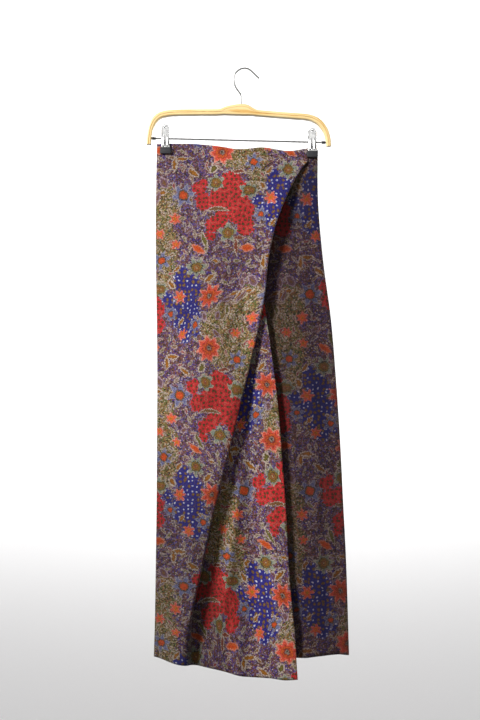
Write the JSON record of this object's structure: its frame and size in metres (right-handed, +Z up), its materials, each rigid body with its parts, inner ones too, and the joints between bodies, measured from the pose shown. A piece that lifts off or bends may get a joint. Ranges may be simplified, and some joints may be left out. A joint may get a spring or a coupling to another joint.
{
  "type": "wrap pants on a clip hanger",
  "caption": "Wide-leg batik cotton trousers with a front wrap panel and a long diagonal drape fold, hanging flat from the clips of a bent wood hanger.",
  "frame": {"origin": "inner top of the hanger's hook, where a rail carries it", "axes": "+Z up, the garment's front and its wrap panel face -Y, +X to the viewer's right"},
  "size_m": [0.4178, 0.0601, 1.2621],
  "materials": {
    "batik_cotton": "printed plain weave cotton, soft low sheen",
    "bent_wood": "clear satin varnish",
    "plated_steel": "bright plated",
    "black_rubber": "matte"
  },
  "bodies": {
    "root": {"wrap_panel": "batik_cotton", "right_leg_front": "batik_cotton", "right_leg_back": "batik_cotton", "left_leg_front": "batik_cotton", "left_leg_back": "batik_cotton", "hanger_arm": "bent_wood", "hanger_hook": "plated_steel", "hanger_rod": "plated_steel", "rod_cap_left": "black_rubber", "rod_cap_right": "black_rubber", "clip_left_front_leaf": "plated_steel", "clip_left_back_leaf": "plated_steel", "clip_right_front_leaf": "plated_steel", "clip_right_back_leaf": "plated_steel", "clip_left_front_boot": "black_rubber", "clip_left_back_boot": "black_rubber", "clip_right_front_boot": "black_rubber", "clip_right_back_boot": "black_rubber", "clip_left_spring": "plated_steel", "clip_right_spring": "plated_steel"}
  },
  "joints": []
}
